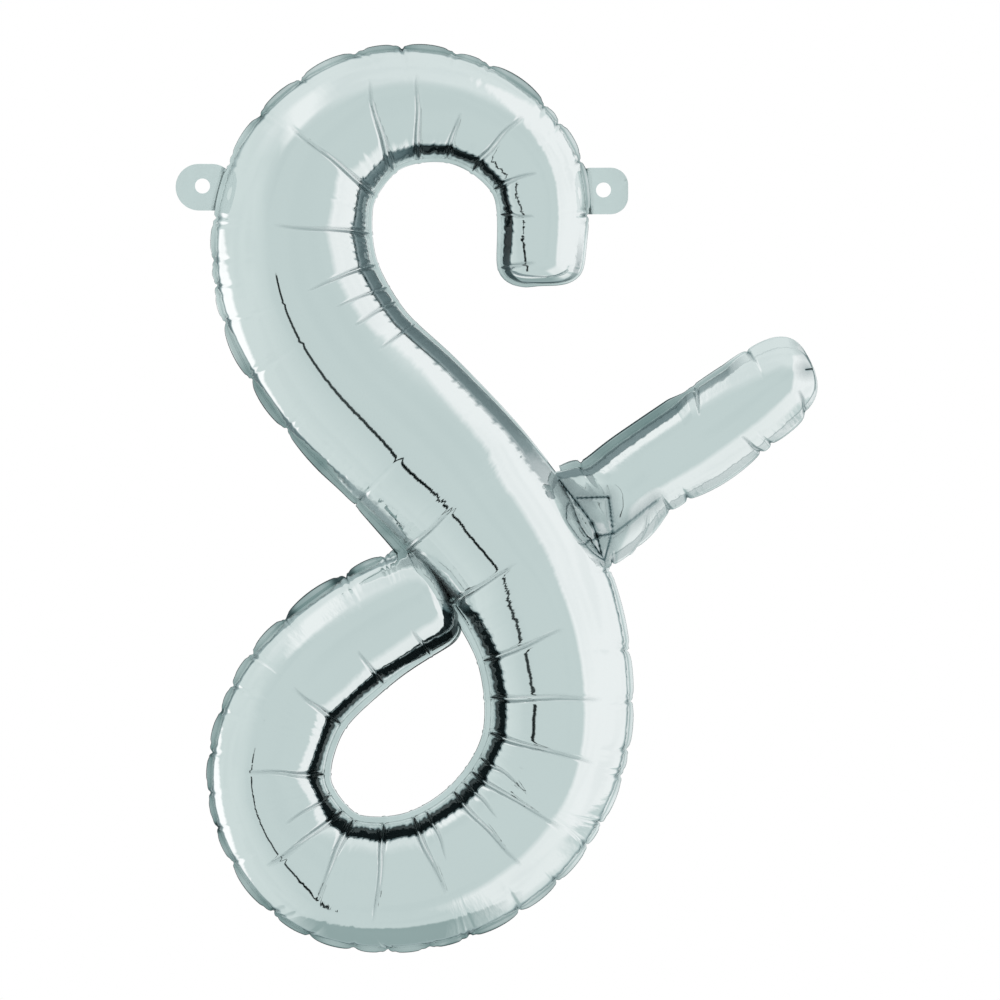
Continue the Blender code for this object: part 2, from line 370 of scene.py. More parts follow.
# Angles round a tube, closer together at its two seams; the front half comes first
def columnAngles(spec):
    halves = []
    for start, count in ((0.0, spec["frontColumns"]), (math.pi, spec["backColumns"])):
        t = np.linspace(0.0, 1.0, count + 1)[:-1]
        crowd = spec["columnCrowd"] * np.sin(2 * math.pi * t) / (2 * math.pi)
        halves.append(start + math.pi * (t - crowd))
    return np.concatenate(halves)


# Where each place lies in its petal, from 0 to 1, and how far that petal stands out;
# a longer petal stands out further
def petalPlace(places, spec, notches):
    notches = notches * mm
    index = np.clip(np.searchsorted(notches, places) - 1, 0, len(notches) - 2)
    long = notches[index + 1] - notches[index]
    share = np.clip((places - notches[index]) / long, 0.0, 1.0)
    rise, least, most = spec["petalRise"]
    out = np.clip(rise * long / mm, least, most)
    fade = spec["petalFade"] * mm
    inside = ease((places - notches[0] + fade) / fade) * ease((notches[-1] + fade - places) / fade)
    return share, out, inside


# What the tables say about one side's edge at each place, with its petals worked in
def edgeAt(places, spec, side, notches):
    table = np.array(spec["edges"][side], float)
    found = {}
    for column, name in enumerate(("top", "foot", "flange", "lean", "petals", "high", "paintedShade")):
        found[name] = np.interp(places / mm, table[:, 0], table[:, column + 1])
    share, out, inside = petalPlace(places, spec, notches)
    mix = found["petals"] * inside
    arch = (4 * share * (1 - share)) ** spec["archPower"]   # 0 at a notch and 1 mid-petal
    # a petal is a flat lens of sealed foil on a nearly straight chord
    lens = spec["lensIn"] * arch
    found["foot"] = (1 - mix) * found["foot"] + mix * (spec["notchFoot"] - lens)
    petalWide = spec["notchFlange"] + (lens + out * arch) / np.cos(found["lean"])
    found["flange"] = (1 - mix) * found["flange"] + mix * petalWide
    # painted shade: the foil at each notch is painted darker
    found["paintedShade"] = np.clip(found["paintedShade"] + mix * spec["notchPaintedShade"] * (1 - arch), 0.0, 1.0)
    for name in ("top", "foot", "flange"):
        found[name] = found[name] * mm
    return found


# The angle from a side's seam at which a crease's far end lies
def endAngle(share, side):
    return math.acos(max(-1.0, min(1.0, share * side)))


# Rows slant so that they follow the creases: each point's place along the tube, and the
# angle at which the creases of each side end there
def slantedRows(spec, creases, v, fromSeam, front, length):
    s = v + np.zeros_like(fromSeam[1])
    ends = {}
    past, run = spec["slantPast"], spec["slantRun"] * mm
    for side in (-1, 1):
        chosen = sorted((row[1], row[2], row[3]) for row in creases if row[0] == side)
        at = [chosen[0][0] - past] + [row[0] for row in chosen] + [chosen[-1][0] + past]
        slant = [0.0] + [row[1] - row[0] for row in chosen] + [0.0]
        end = [endAngle(row[2], side) for row in chosen]
        end = [end[0]] + end + [end[-1]]
        slantAt = np.interp(v, np.array(at) * mm, np.array(slant) * mm)
        slantAt = slantAt * ease(v / run) * ease((length - v) / run)
        ends[side] = np.interp(v, np.array(at) * mm, end)
        reachIn = np.clip(fromSeam[side] / ends[side], 0.0, 1.0)
        back = 1.0 - ease((fromSeam[side] - ends[side]) / (math.pi - ends[side]))
        s = s + slantAt * reachIn * back * np.where(front, 1.0, spec["slantBehind"])
    return np.clip(s, 0.0, length), ends


# The section: a round body between two walls that drop to the seams; shrink closes the ends
def tubeSection(spec, s, reach, edges, fromSeam, length):
    wallTop = {side: reach - edges[side]["top"][:, None] for side in (-1, 1)}
    wallFoot = {side: reach + edges[side]["foot"][:, None] for side in (-1, 1)}
    half = (wallTop[-1] + wallTop[1]) / 2
    shift = (wallTop[1] - wallTop[-1]) / 2
    deep = spec["depthRatio"] * (reach - spec["seal"] * mm)
    full, turn = spec["wallAngle"], spec["bodyTurn"]
    across = np.zeros_like(s)
    depth = np.zeros_like(s)
    for side in (-1, 1):
        theta = fromSeam[side]
        near = theta <= math.pi / 2 + 1e-9
        high = edges[side]["high"][:, None] * deep
        t = turn * np.clip((math.pi / 2 - theta) / (math.pi / 2 - full), 0.0, 1.0)
        bodyX = side * half * np.sin(t) / math.sin(turn) + shift
        bodyY = high + (deep - high) * (np.cos(t) - math.cos(turn)) / (1 - math.cos(turn))
        g = np.clip(theta / full, 0.0, 1.0)
        wallX = side * (wallTop[side] + (wallFoot[side] - wallTop[side]) * (1 - g ** spec["wallBulge"]))
        isWall = theta < full
        across = np.where(near, np.where(isWall, wallX, bodyX), across)
        depth = np.where(near, np.where(isWall, high * g, bodyY), depth)
    shrink = np.ones_like(s)
    for edge, cap in ((s, spec["startCap"]), (length - s, spec["endCap"])):
        if cap:
            inside = np.clip(edge / (cap[0] * mm), 0.0, 1.0)
            shrink = shrink * (1.0 - (1.0 - inside) ** cap[1]) ** (1.0 / cap[1])
    return across, depth, shrink


# Painted reflection: the front wall's colour is painted darker where it would mirror the dark opening
# beside it, up to a jagged border, with a painted dark line of shade along that border
def paintWallShade(spec, random, v, fromSeam, front):
    look = spec["paintedWallBand"]
    paintedShade = np.zeros_like(v + fromSeam[1])
    jag = np.zeros_like(v)
    for wave, size in spec["jag"]:
        jag += size * np.sin(v / (wave * mm) + random.uniform(0, 6))
    for side in (-1, 1):
        shade = np.array(spec["paintedWallShade"][side], float)
        strength = np.interp(v / mm, shade[:, 0], shade[:, 1])
        border = spec["wallAngle"] + look["over"] + np.abs(jag)
        band = 1.0 - ease((fromSeam[side] - border) / look["soft"] + 0.5)
        band = band * ease((fromSeam[side] - look["fromSeam"] - 0.5 * np.abs(jag)) / look["fromSeam"])
        rim = np.interp(v / mm, shade[:, 0], shade[:, 2]) * hump(fromSeam[side] - border, look["line"])
        paintedShade = np.maximum(paintedShade, np.maximum(strength * band, rim) * front)
    return paintedShade


# Creases: two valleys that close to a point, with a raised strip between them; painted shade draws a dark
# line along each valley
def pressCreases(spec, random, creases, v, fromSeam, front, metric, bump, paintedShade):
    look = spec["crease"]
    thin = spec["paintedLineWide"] * mm
    for side, place, _, endShare, deep, wide, _ in creases:
        theta = fromSeam[side]
        t = np.clip(theta / endAngle(endShare, side), 0.0, 1.0)
        wave = np.sin(theta * random.uniform(*look["waves"]) + random.uniform(0, 6))
        x = (v - place * mm) * metric + look["wobble"] * mm * wave * t
        opening = 1.0 - t
        apart = wide * mm * (look["apart"] + look["apartMore"] * opening)
        nearSeam = look["inner"] + look["outer"] * np.exp(-theta / look["outerRun"])
        strength = opening ** look["closing"] * nearSeam * ease(theta / look["start"] + look["startFrom"])
        strength = strength * np.where(front, 1.0, random.uniform(*look["behind"]))
        tilt = random.uniform(*look["tilt"]), random.uniform(*look["tilt"])
        valley = wide * mm * look["valley"]
        fold = -tilt[0] * hump(x - apart, valley) - tilt[1] * hump(x + apart, valley)
        fold += spec["ridge"] * hump(x, look["strip"] * apart + look["stripLeast"] * mm)
        bump += deep * mm * strength * fold
        paintedDark = look["nearDark"] * hump(x - apart, thin) + look["farDark"] * hump(x + apart, thin)
        paintedDark = np.minimum(paintedDark, 1.0) * opening ** look["darkClosing"] * ease(theta / look["darkStart"])
        paintedShade = np.maximum(paintedShade, paintedDark)
    return paintedShade


# Short puckers where the sheets meet the seal, and deeper ones at the notches with a painted dark line of
# shade
def pressPuckers(spec, random, line, notches, v, fromSeam, metric, bump, paintedShade):
    look, cut = spec["pucker"], spec["notchFold"]
    least, most = cut["beside"]
    for side in (-1, 1):
        theta = fromSeam[side]
        place = spec["puckerFrom"]
        calm = spec["calm"].get(side, (0, 0))
        while place * mm < line["length"] - spec["puckerFrom"] * mm:
            bend = float(np.interp(place * mm, line["place"], -side * line["turning"]))
            sizes, runs = look["outer"] if bend > look["outerBend"] else look["inner"]
            size = random.uniform(*sizes)
            run = random.uniform(*runs)
            if calm[0] < place < calm[1]:
                size *= look["calm"]
            wide = random.uniform(*look["wide"]) * mm
            size *= spec["puckerScale"]
            x = (v - place * mm) * metric
            bump -= size * mm * hump(x, wide) * hump(theta, run) * ease(theta / look["start"])
            place += random.uniform(*look["gap"])
        for place in notches[side]:
            for offset in (0.0, random.uniform(-most, -least), random.uniform(least, most)):
                x = (v - (place + offset) * mm) * metric
                wide = random.uniform(*cut["wide"]) * mm
                run = random.uniform(*cut["run"])
                if offset == 0.0:
                    size = random.uniform(*cut["size"])
                else:
                    size = random.uniform(*cut["sideSize"]) * spec["sideFolds"]
                size *= spec["notchDeep"]
                bump -= size * mm * hump(x, wide) * hump(theta, run)
                paintedDark = hump(x, spec["paintedLineWide"] * cut["darkWide"] * mm) * hump(theta, cut["darkRun"])
                paintedShade = np.maximum(paintedShade, min(1.0, size / spec["notchDeep"]) * paintedDark)
    return paintedShade


# The foil stands straight between the creases on the inside of a bend
def standStraight(spec, grid, rows, creases, fromSeam, ends):
    look = spec["straight"]
    for side in (-1, 1):
        inwards = ease((fromSeam[side] / ends[side] - look["from"]) / look["run"])
        weight = (1.0 - inwards) * ease(fromSeam[side] / look["seamRun"])
        corners = [row[1] for row in creases if row[0] == side and row[6]]
        for first, last in zip(corners, corners[1:]):
            start, stop = np.searchsorted(rows, (first * mm, last * mm))
            share = ((rows[start:stop + 1] - rows[start]) / (rows[stop] - rows[start]))[:, None, None]
            chord = (1 - share) * grid[start] + share * grid[stop]
            grid[start:stop + 1] += weight[start:stop + 1, :, None] * (chord - grid[start:stop + 1])


# How far flat points lie from a line that starts at 0,0 and ends at "along"
def gapToLine(flat, along):
    share = np.clip(flat @ along / (along @ along), 0.0, 1.0)
    return np.linalg.norm(flat - share[..., None] * along, axis=-1)


# Folds drawn across the front, pressed into both sheets; one side of a fold is a facet. Painted shade
# darkens each fold's line, its facet and the foil round it
def pressFolds(spec, grid, sheet, paintedShade):
    look = spec["fold"]
    for startX, startY, endX, endY, pressed, wide in spec["folds"]:
        start = np.array(pictured(startX, startY))
        along = np.array(pictured(endX, endY)) - start
        flat = grid[..., [0, 2]] - start
        gap = gapToLine(flat, along)
        above = flat[..., 1] * along[0] - flat[..., 0] * along[1] > 0
        around = np.clip(1.0 - gap / (spec["facetWide"] * mm), 0.0, 1.0)
        facet = look["facet"] * above * around
        press = pressed * mm * np.maximum(np.clip(1.0 - gap / (wide * mm), 0.0, 1.0), facet)
        grid[..., 1] -= sheet * np.minimum(press, np.abs(grid[..., 1]) * look["most"])
        core = np.minimum(look["core"] * hump(gap, spec["paintedLineWide"] * mm), 1.0)
        paintedDark = np.maximum(min(1.0, pressed / look["fullDark"]) * core, spec["facetPaintedShade"] * facet)
        paintedShade = np.maximum(paintedShade, np.maximum(paintedDark, spec["foldPaintedShade"] * around))
    return paintedShade


# The blown tube: both sheets from seam to seam, with walls, petals, creases and puckers
def blownTube(piece):
    spec = {**foilTube, **piece}
    random = np.random.default_rng(spec["seed"])
    line = smoothLine(spec["rows"])
    length = line["length"]
    creases = creaseRows(line, spec)
    notches = {side: notchPlaces(line, spec, side) for side in (-1, 1)}
    rows = rowPlaces(line, spec, creases, notches)
    edges = {side: edgeAt(rows, spec, side, notches[side]) for side in (-1, 1)}
    v = rows[:, None]
    angle = columnAngles(spec)[None, :]
    front = np.sin(angle) > -1e-9
    fromSeam = {1: np.abs(math.pi - angle), -1: np.minimum(angle, 2 * math.pi - angle)}

    s, ends = slantedRows(spec, creases, v, fromSeam, front, length)
    across, depth, shrink = tubeSection(spec, s, onLine(line, "reach", s), edges, fromSeam, length)
    # painted shade: walls, creases, notches and folds paint darkness into a point attribute that darkens
    # the foil's colour
    paintedShade = paintWallShade(spec, random, v, fromSeam, front)
    bump = np.zeros_like(s)
    metric = 1.0 - onLine(line, "turning", s) * across
    paintedShade = pressCreases(spec, random, creases, v, fromSeam, front, metric, bump, paintedShade)
    paintedShade = pressPuckers(spec, random, line, notches, v, fromSeam, metric, bump, paintedShade)
    bump *= np.clip(shrink * spec["capRise"], 0.0, 1.0)

    away = np.maximum(np.hypot(across, depth), 1e-6)
    aside, forward = across / away, depth / away
    across, depth = across * shrink, depth * shrink
    if spec["neck"]:
        low = ease(s / (spec["neck"]["run"] * mm))
        depth = depth * (spec["neck"]["share"] + (1 - spec["neck"]["share"]) * low)
    sheet = np.where(front, -1.0, 1.0)
    heading = onLine(line, "heading", s)
    turnX, turnZ = -np.sin(heading), np.cos(heading)
    grid = np.stack([onLine(line, "x", s) + turnX * across, sheet * depth,
                     onLine(line, "z", s) + turnZ * across], -1)
    standStraight(spec, grid, rows, creases, fromSeam, ends)
    grid += bump[..., None] * np.stack([turnX * aside, sheet * forward, turnZ * aside], -1)
    paintedShade = pressFolds(spec, grid, sheet, paintedShade)
    if spec["lift"]:
        grid[..., 1] += spec["lift"](s, length)
    return {"grid": grid, "rows": rows, "paintedShade": paintedShade, "angle": angle[0], "edges": edges,
            "half": spec["frontColumns"], "crumple": spec["crumple"]}


def tubeMesh(name, tube, closedStart=True):
    grid = tube["grid"]
    rowCount, columns, _ = grid.shape
    index = np.arange(rowCount * columns).reshape(rowCount, columns)
    after = np.roll(index, -1, axis=1)
    faces = np.stack([index[:-1], after[:-1], after[1:], index[1:]], -1).reshape(-1, 4)
    mesh = bpy.data.meshes.new(name)
    mesh.from_pydata(grid.reshape(-1, 3).tolist(), [], faces.tolist())
    layer = mesh.uv_layers.new(name="foilUV")
    angle = tube["angle"]
    column = np.append(angle, 2 * math.pi) / math.pi
    corners = np.zeros((rowCount - 1, columns, 4, 2))
    corners[..., 0, 0] = corners[..., 3, 0] = column[:-1]
    corners[..., 1, 0] = corners[..., 2, 0] = column[1:]
    along = tube["rows"] / (foilTube["patternSize"] * mm)
    corners[..., 0, 1] = corners[..., 1, 1] = along[:-1, None]
    corners[..., 2, 1] = corners[..., 3, 1] = along[1:, None]
    layer.data.foreach_set("uv", corners.reshape(-1).astype(np.float32))
    near = np.minimum(np.abs(math.pi - angle), np.minimum(angle, 2 * math.pi - angle))
    crumple = np.array(tube["crumple"], float)
    crumpled = np.interp(tube["rows"] / mm, crumple[:, 0], crumple[:, 1])
    values = {
        "nearSeam": np.repeat(np.exp(-near / foilTube["seamFade"])[None, :], rowCount, axis=0),
        "crumpled": np.repeat(crumpled[:, None], columns, axis=1),
        # painted shade, as a point attribute for the foil material
        "paintedShade": tube["paintedShade"],
    }
    for kind, value in values.items():
        attribute = mesh.attributes.new(kind, "FLOAT", "POINT")
        attribute.data.foreach_set("value", value.reshape(-1).astype(np.float32))
    build = bmesh.new()
    build.from_mesh(mesh)
    if not closedStart:
        ring = [edge for edge in build.edges
                if edge.is_boundary and all(corner.index < columns for corner in edge.verts)]
        bmesh.ops.contextual_create(build, geom=ring)
    bmesh.ops.remove_doubles(build, verts=build.verts, dist=mergeGap)
    bmesh.ops.recalc_face_normals(build, faces=build.faces)
    for face in build.faces:
        face.smooth = True
    build.to_mesh(mesh)
    build.free()
    return mesh


def addObject(name, mesh, material):
    item = bpy.data.objects.new(name, mesh)
    dressing.objects.link(item)
    mesh.materials.clear()
    mesh.materials.append(material)
    return item


# Fine wrinkles that run from the seal up the sheet, as a height for a Bump node
wrinkleLook = {
    "stretch": (2.2, 1.0, 1.0), "detail": 2.0,
    "patchSize": 0.35, "patchDetail": 2.0, "patchFrom": 0.42, "patchTo": 0.60,
}


def wrinkleGroup():
    group = bpy.data.node_groups.new("radialWrinkles", "ShaderNodeTree")
    addInputs(group, {"Fineness": 4.0, "Seam strength": 1.0, "Sheet strength": 0.2})
    group.interface.new_socket(name="Height", in_out="OUTPUT", socket_type="NodeSocketFloat")
    ins = addNode(group, "NodeGroupInput").outputs
    outs = addNode(group, "NodeGroupOutput").inputs
    uv = addNode(group, "ShaderNodeUVMap", uv_map="foilUV")
    near = addNode(group, "ShaderNodeAttribute", attribute_name="nearSeam")
    crumpled = addNode(group, "ShaderNodeAttribute", attribute_name="crumpled")
    stretch = addNode(group, "ShaderNodeMapping")
    link(group, uv.outputs[0], stretch.inputs["Vector"])
    stretch.inputs["Scale"].default_value = wrinkleLook["stretch"]
    noise = noiseNode(group, stretch.outputs[0], ins["Fineness"], wrinkleLook["detail"])
    drift = noiseNode(group, uv.outputs[0], wrinkleLook["patchSize"], wrinkleLook["patchDetail"])
    patch = softStep(group, drift, wrinkleLook["patchFrom"], wrinkleLook["patchTo"])
    seam = mathNode(group, "MULTIPLY", near.outputs["Fac"], ins["Seam strength"])
    patchy = mathNode(group, "MULTIPLY", patch, crumpled.outputs["Fac"])
    sheet = mathNode(group, "MULTIPLY", patchy, ins["Sheet strength"])
    strength = mathNode(group, "ADD", seam, sheet)
    link(group, mathNode(group, "MULTIPLY", noise, strength), outs["Height"])
    return group


wrinkles = wrinkleGroup()


def newMaterial(name):
    material = bpy.data.materials.new(name)
    material.use_nodes = True
    return material, material.node_tree, material.node_tree.nodes["Principled BSDF"]


def plainPaint(name, colour, roughness):
    material, _, shader = newMaterial(name)
    shader.inputs["Base Color"].default_value = colour
    shader.inputs["Roughness"].default_value = roughness
    return material


def bumpNormal(tree, height, strength, distance):
    node = addNode(tree, "ShaderNodeBump")
    setInputs(node, {"Strength": strength, "Distance": distance})
    link(tree, height, node.inputs["Height"])
    return node.outputs[0]


# The painted shade attribute, 0 to 1, paints the foil's colour darker towards a painted shade tint, then a
# painted dark tint, less so in its streaks; dull is how far that painted-dark foil loses its mirror
foilLooks = {
    "silverFoil": {
        "tint": (0.93, 0.945, 0.945), "roughness": 0.045,
        "fineness": 4.2, "seamStrength": 0.9, "sheetStrength": 0.7, "height": 0.0002,
        "paintedShadeTint": (0.07, 0.15, 0.17), "paintedDarkTint": (0.016, 0.024, 0.026), "streaky": 0.0, "dull": 0.6,
    },
    "sealFoil": {
        "tint": (0.90, 0.935, 0.935), "roughness": 0.14,
        "fineness": 6.0, "seamStrength": 0.5, "sheetStrength": 0.5, "height": 0.00015,
        "paintedShadeTint": (0.18, 0.28, 0.28), "paintedDarkTint": (0.06, 0.09, 0.095), "streaky": 0.3, "dull": 0.0,
    },
}
foilCloud = {
    "size": 28.0, "detail": 4.0, "darkest": 0.97, "smoothest": 0.8, "roughest": 1.3,
    # edge is where the painted dark outline of the seal starts, and dark where the painted shade turns to
    # the painted dark tint
    "streaks": (0.40, 0.62), "edge": (0.35, 1.0), "paintedDark": (0.84, 0.98),
}


def foilMaterial(name):
    look = foilLooks[name]
    material, tree, shader = newMaterial(name)
    shader.inputs["Metallic"].default_value = 1.0
    panel = addNode(tree, "ShaderNodeGroup", node_tree=wrinkles)
    setInputs(panel, {"Fineness": look["fineness"], "Seam strength": look["seamStrength"],
                      "Sheet strength": look["sheetStrength"]})
    link(tree, bumpNormal(tree, panel.outputs["Height"], 1.0, look["height"]), shader.inputs["Normal"])
    place = addNode(tree, "ShaderNodeTexCoord")
    cloud = noiseNode(tree, place.outputs["Object"], foilCloud["size"], foilCloud["detail"])
    smudge = addNode(tree, "ShaderNodeMapRange")
    link(tree, cloud, smudge.inputs["Value"])
    setInputs(smudge, {"To Min": look["roughness"] * foilCloud["smoothest"],
                       "To Max": look["roughness"] * foilCloud["roughest"]})
    link(tree, smudge.outputs[0], shader.inputs["Roughness"])
    darker = tuple(channel * foilCloud["darkest"] for channel in look["tint"])
    colour = mixColour(tree, cloud, darker, look["tint"])
    # the painted shade attribute darkens the colour, more at the seal's outer edge where a dark outline is
    # painted, less in the streaks
    paintedShade = addNode(tree, "ShaderNodeAttribute", attribute_name="paintedShade")
    outer = addNode(tree, "ShaderNodeAttribute", attribute_name="outerEdge")
    streaks = mathNode(tree, "MULTIPLY", softStep(tree, cloud, *foilCloud["streaks"]), look["streaky"])
    atEdge = softStep(tree, outer.outputs["Fac"], *foilCloud["edge"])
    rim = mathNode(tree, "MULTIPLY", atEdge, paintedShade.outputs["Fac"])
    shade = mathNode(tree, "ADD", paintedShade.outputs["Fac"], mathNode(tree, "SUBTRACT", rim, streaks), clamp=True)
    colour = mixColour(tree, shade, colour, look["paintedShadeTint"])
    colour = mixColour(tree, softStep(tree, shade, *foilCloud["paintedDark"]), colour, look["paintedDarkTint"])
    link(tree, colour, shader.inputs["Base Color"])
    # where shade is painted the foil also gives up part of its mirror, so the painted dark stays dark
    if look["dull"]:
        shader.inputs["Specular IOR Level"].default_value = 0.0
        lost = mathNode(tree, "MULTIPLY", shade, look["dull"])
        mirror = mathNode(tree, "SUBTRACT", 1.0, lost, clamp=True)
        link(tree, mirror, shader.inputs["Metallic"])
    return material


foil = foilMaterial("silverFoil")
sealFoil = foilMaterial("sealFoil")

# Thin film with a duller coat than the foil: slightly cloudy, with fine streaks
filmLooks = {
    "tabFilm": {"tint": (0.96, 0.985, 0.985), "roughness": 0.26, "metal": 0.92},
    "valveFilm": {"tint": (0.80, 0.85, 0.85), "roughness": 0.28, "metal": 0.0},
}
filmStreaks = {
    "stretch": (240.0, 90.0, 60.0), "size": 1.0, "detail": 3.0, "darkest": 0.94,
    "strength": 0.5, "height": 0.0001,
}


def filmMaterial(name):
    look = filmLooks[name]
    material, tree, shader = newMaterial(name)
    shader.inputs["Roughness"].default_value = look["roughness"]
    shader.inputs["Metallic"].default_value = look["metal"]
    place = addNode(tree, "ShaderNodeTexCoord")
    stretch = addNode(tree, "ShaderNodeMapping")
    link(tree, place.outputs["Object"], stretch.inputs["Vector"])
    stretch.inputs["Scale"].default_value = filmStreaks["stretch"]
    cloud = noiseNode(tree, stretch.outputs[0], filmStreaks["size"], filmStreaks["detail"])
    darker = tuple(channel * filmStreaks["darkest"] for channel in look["tint"])
    link(tree, mixColour(tree, cloud, darker, look["tint"]), shader.inputs["Base Color"])
    normal = bumpNormal(tree, cloud, filmStreaks["strength"], filmStreaks["height"])
    link(tree, normal, shader.inputs["Normal"])
    return material


tabFilm = filmMaterial("tabFilm")
valveFilm = filmMaterial("valveFilm")
print("foil and film ready")

